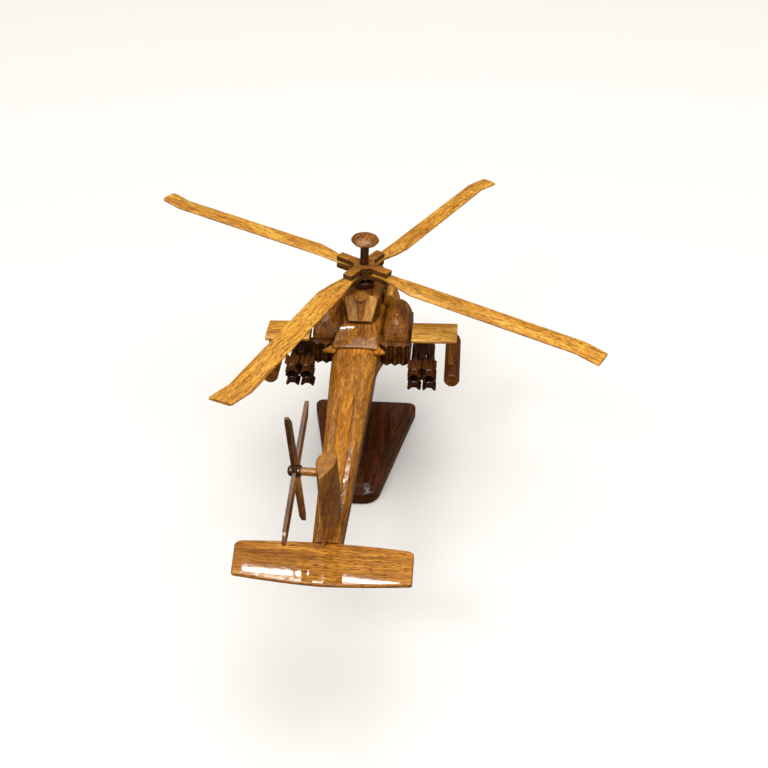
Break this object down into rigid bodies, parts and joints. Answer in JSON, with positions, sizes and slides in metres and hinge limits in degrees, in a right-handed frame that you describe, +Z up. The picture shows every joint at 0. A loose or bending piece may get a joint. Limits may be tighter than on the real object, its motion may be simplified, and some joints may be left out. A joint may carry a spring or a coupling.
{
  "type": "wooden toy attack helicopter on a stand",
  "caption": "Lacquered hardwood desk model of a two-rotor attack helicopter with stub wings and stores on a tapered plinth; both rotors spin.",
  "frame": {"origin": "point on the plinth's underside, level with the table, under the main rotor", "axes": "+Y towards the nose of the helicopter, +X to its starboard side, +Z up along the mast"},
  "size_m": [0.3419, 0.4425, 0.2116],
  "materials": {
    "light_wood": "glossy lacquer",
    "golden_wood": "glossy lacquer",
    "red_brown_wood": "glossy lacquer",
    "dark_wood": "glossy lacquer",
    "plinth_wood": "glossy lacquer"
  },
  "bodies": {
    "airframe": {"base_plate": "plinth_wood", "fuselage_body": "golden_wood", "stand_strut": "plinth_wood", "canopy": "red_brown_wood", "cheek_fairing_right": "golden_wood", "cheek_fairing_left": "golden_wood", "nose_sensor": "dark_wood", "gun_cradle": "dark_wood", "gun_barrel": "dark_wood", "rotor_pylon": "golden_wood", "pylon_rear_panel": "golden_wood", "panel_peg": "red_brown_wood", "rear_deck": "golden_wood", "nacelle_right": "red_brown_wood", "nacelle_left": "red_brown_wood", "engine_intake_right": "red_brown_wood", "engine_intake_left": "red_brown_wood", "exhaust_block_right": "dark_wood", "exhaust_block_left": "dark_wood", "wing_right": "light_wood", "wing_left": "light_wood", "missile_rack_right": "dark_wood", "missile_rack_left": "dark_wood", "missile_right_1": "dark_wood", "missile_right_2": "dark_wood", "missile_right_3": "dark_wood", "missile_right_4": "dark_wood", "missile_left_1": "dark_wood", "missile_left_2": "dark_wood", "missile_left_3": "dark_wood", "missile_left_4": "dark_wood", "pod_pylon_right": "golden_wood", "pod_pylon_left": "golden_wood", "rocket_pod_right": "dark_wood", "rocket_pod_left": "dark_wood", "gear_leg_right": "golden_wood", "gear_leg_left": "golden_wood", "main_wheel_right": "dark_wood", "main_wheel_left": "dark_wood", "tail_boom": "golden_wood", "boom_spine": "golden_wood", "tail_fin": "golden_wood", "stabilizer": "light_wood", "tail_gear_leg": "golden_wood", "tail_wheel": "dark_wood", "tail_shaft": "golden_wood", "mast_peg": "dark_wood", "mast_collar": "dark_wood", "mast_cap": "red_brown_wood"},
    "main_rotor": {"rotor_hub": "dark_wood", "swash_ring": "dark_wood", "main_blade_1": "light_wood", "main_blade_2": "light_wood", "main_blade_3": "light_wood", "main_blade_4": "light_wood"},
    "tail_rotor": {"tail_blades_fore_aft": "golden_wood", "tail_blades_upright": "golden_wood", "tail_hub_cap": "dark_wood", "tail_hub_boss": "dark_wood"}
  },
  "joints": [
    {"name": "main_rotor_spin", "type": "hinge", "parent": "airframe", "child": "main_rotor", "pos_m": [-0.0008, 0, 0.165], "axis": [0.0523, 0, 0.9986], "continuous": true},
    {"name": "tail_rotor_spin", "type": "hinge", "parent": "airframe", "child": "tail_rotor", "pos_m": [-0.0178, -0.2354, 0.1681], "axis": [-0.9969, 0.0732, -0.0297], "continuous": true}
  ]
}
